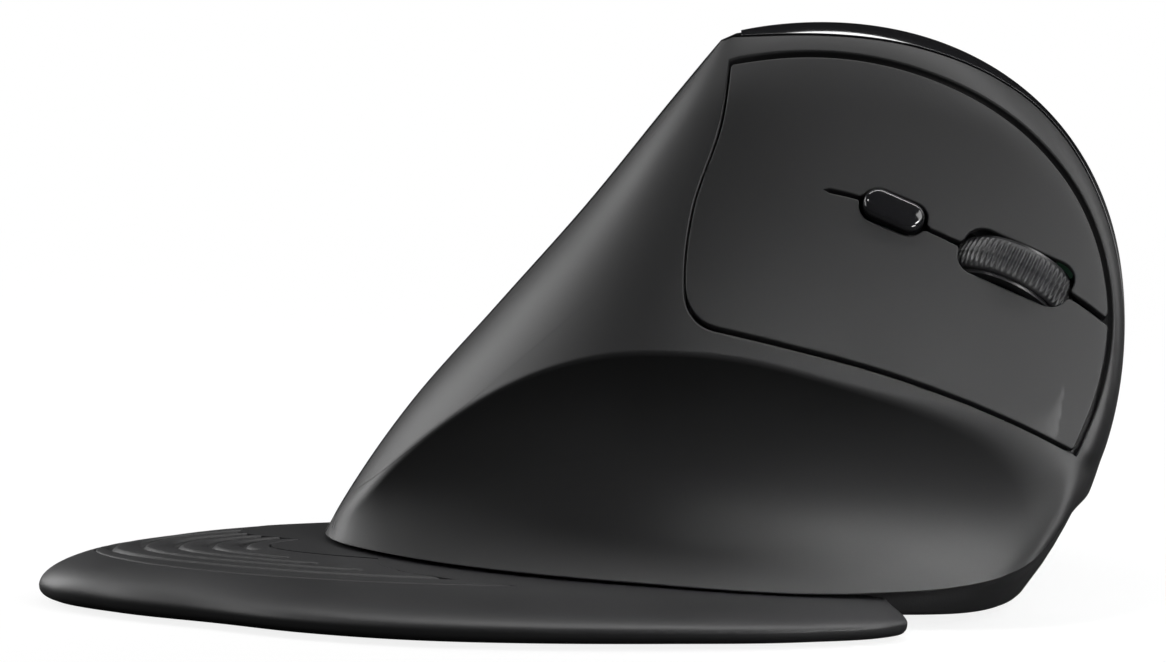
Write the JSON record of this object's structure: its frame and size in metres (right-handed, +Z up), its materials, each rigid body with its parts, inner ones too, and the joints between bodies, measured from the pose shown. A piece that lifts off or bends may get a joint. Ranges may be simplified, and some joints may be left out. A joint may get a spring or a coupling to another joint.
{
  "type": "vertical ergonomic mouse",
  "caption": "Upright ergonomic mouse for the right hand with click keys, a scroll wheel and thumb buttons, standing in a loose crescent palm rest with a grooved pad.",
  "frame": {"origin": "on the desk, below the middle of the mouse and its palm rest", "axes": "+X towards the finger side, +Y towards the front of the mouse, +Z up"},
  "size_m": [0.0876, 0.1475, 0.0757],
  "materials": {
    "soft_shell": "soft-touch matte",
    "gloss_black": "polished",
    "base_black": "fine moulded grain",
    "inner_black": "moulded",
    "wheel_rubber": "matte with fine ribs",
    "hub_plastic": "polished",
    "circuit_board": "green lacquer",
    "switch_case": "moulded",
    "plunger_red": "moulded",
    "lens_clear": "clear",
    "battery_foil": "foil",
    "steel": "plated",
    "flat_cable": "flat cable",
    "slick_foot": "slick",
    "rest_grey": "fine moulded grain",
    "pad_rubber": "soft matte",
    "magnet": "nickel plated",
    "foot_rubber": "matte"
  },
  "bodies": {
    "body": {"finger_shell": "soft_shell", "thumb_shell": "soft_shell", "crown_trim": "gloss_black", "base_shell": "base_black", "inner_frame": "inner_black", "key_web": "soft_shell", "wheel_guide": "inner_black", "wheel_encoder": "inner_black", "button_board": "circuit_board", "left_switch": "switch_case", "right_switch": "switch_case", "wheel_switch": "switch_case", "dpi_switch": "switch_case", "thumb_board": "circuit_board", "forward_switch": "switch_case", "back_switch": "switch_case", "main_board": "circuit_board", "sensor_chip": "gloss_black", "sensor_lens": "lens_clear", "battery_pack": "battery_foil", "charge_port": "steel", "power_switch": "switch_case", "ribbon_cable": "flat_cable", "glide_feet": "slick_foot", "case_screws": "steel", "board_screws": "steel", "steel_keepers": "steel"},
    "left_key": {"left_key": "soft_shell"},
    "right_key": {"right_key": "soft_shell"},
    "dpi_button": {"dpi_button": "gloss_black"},
    "left_plunger": {"left_plunger": "plunger_red"},
    "right_plunger": {"right_plunger": "plunger_red"},
    "wheel_plunger": {"wheel_plunger": "plunger_red"},
    "dpi_plunger": {"dpi_plunger": "plunger_red"},
    "forward_button": {"forward_button": "gloss_black"},
    "back_button": {"back_button": "gloss_black"},
    "forward_plunger": {"forward_plunger": "plunger_red"},
    "back_plunger": {"back_plunger": "plunger_red"},
    "wheel_cradle": {"wheel_cradle": "inner_black"},
    "wheel": {"wheel_tyre": "wheel_rubber", "wheel_hub": "hub_plastic"},
    "power_slider": {"power_slider": "inner_black"},
    "palm_rest": {"palm_rest_base": "rest_grey", "palm_pad": "pad_rubber", "rest_magnets": "magnet", "rest_feet": "foot_rubber"}
  },
  "joints": [
    {"name": "left_key_press", "type": "hinge", "parent": "body", "child": "left_key", "pos_m": [0.0026, 0.03, 0.0557], "axis": [-0.5749, 0, 0.8183], "range_deg": [0, 0.9], "stiffness_Nm_per_rad": 1, "springref_deg": -0.29},
    {"name": "left_plunger_sink", "type": "slide", "parent": "body", "child": "left_plunger", "axis": [-0.8119, -0.1, -0.5751], "range_m": [0, 0.0006]},
    {"name": "right_key_press", "type": "hinge", "parent": "body", "child": "right_key", "pos_m": [0.0026, 0.03, 0.0557], "axis": [-0.5749, 0, 0.8183], "range_deg": [0, 0.9], "stiffness_Nm_per_rad": 1, "springref_deg": -0.29},
    {"name": "right_plunger_sink", "type": "slide", "parent": "body", "child": "right_plunger", "axis": [-0.8119, -0.1, -0.5751], "range_m": [0, 0.0006]},
    {"name": "wheel_click", "type": "slide", "parent": "body", "child": "wheel_cradle", "axis": [-0.8119, -0.1, -0.5751], "range_m": [0, 0.0005], "stiffness_N_per_m": 2500, "springref_m": -0.0002},
    {"name": "wheel_spin", "type": "hinge", "parent": "wheel_cradle", "child": "wheel", "pos_m": [0.00327, 0.05805, 0.04169], "axis": [-0.5619, 0.4009, 0.7236], "continuous": true},
    {"name": "wheel_plunger_sink", "type": "slide", "parent": "body", "child": "wheel_plunger", "axis": [-0.8119, -0.1, -0.5751], "range_m": [0, 0.0006]},
    {"name": "dpi_press", "type": "slide", "parent": "body", "child": "dpi_button", "axis": [-0.8119, -0.1, -0.5751], "range_m": [0, 0.0005], "stiffness_N_per_m": 1500, "springref_m": -0.0002},
    {"name": "dpi_plunger_sink", "type": "slide", "parent": "body", "child": "dpi_plunger", "axis": [-0.8119, -0.1, -0.5751], "range_m": [0, 0.0006]},
    {"name": "forward_press", "type": "slide", "parent": "body", "child": "forward_button", "axis": [0.9989, -0.0312, -0.0345], "range_m": [0, 0.0005], "stiffness_N_per_m": 1500, "springref_m": -0.0002},
    {"name": "forward_plunger_sink", "type": "slide", "parent": "body", "child": "forward_plunger", "axis": [0.9989, -0.0312, -0.0345], "range_m": [0, 0.0006]},
    {"name": "back_press", "type": "slide", "parent": "body", "child": "back_button", "axis": [0.9989, -0.0312, -0.0345], "range_m": [0, 0.0005], "stiffness_N_per_m": 1500, "springref_m": -0.0002},
    {"name": "back_plunger_sink", "type": "slide", "parent": "body", "child": "back_plunger", "axis": [0.9989, -0.0312, -0.0345], "range_m": [0, 0.0006]},
    {"name": "power_slide", "type": "slide", "parent": "body", "child": "power_slider", "axis": [0, 1, 0], "range_m": [0, 0.0026]},
    {"name": "palm_rest_slide", "type": "slide", "parent": "body", "child": "palm_rest", "axis": [0.5, -0.866, 0], "range_m": [0, 0.06]}
  ],
  "couplings": [
    {"joint": "left_plunger_sink", "follows": "left_key_press", "m_per_rad": 0.028978},
    {"joint": "right_plunger_sink", "follows": "right_key_press", "m_per_rad": 0.01946},
    {"joint": "wheel_plunger_sink", "follows": "wheel_click", "ratio": 1},
    {"joint": "dpi_plunger_sink", "follows": "dpi_press", "ratio": 1},
    {"joint": "forward_plunger_sink", "follows": "forward_press", "ratio": 1},
    {"joint": "back_plunger_sink", "follows": "back_press", "ratio": 1}
  ]
}
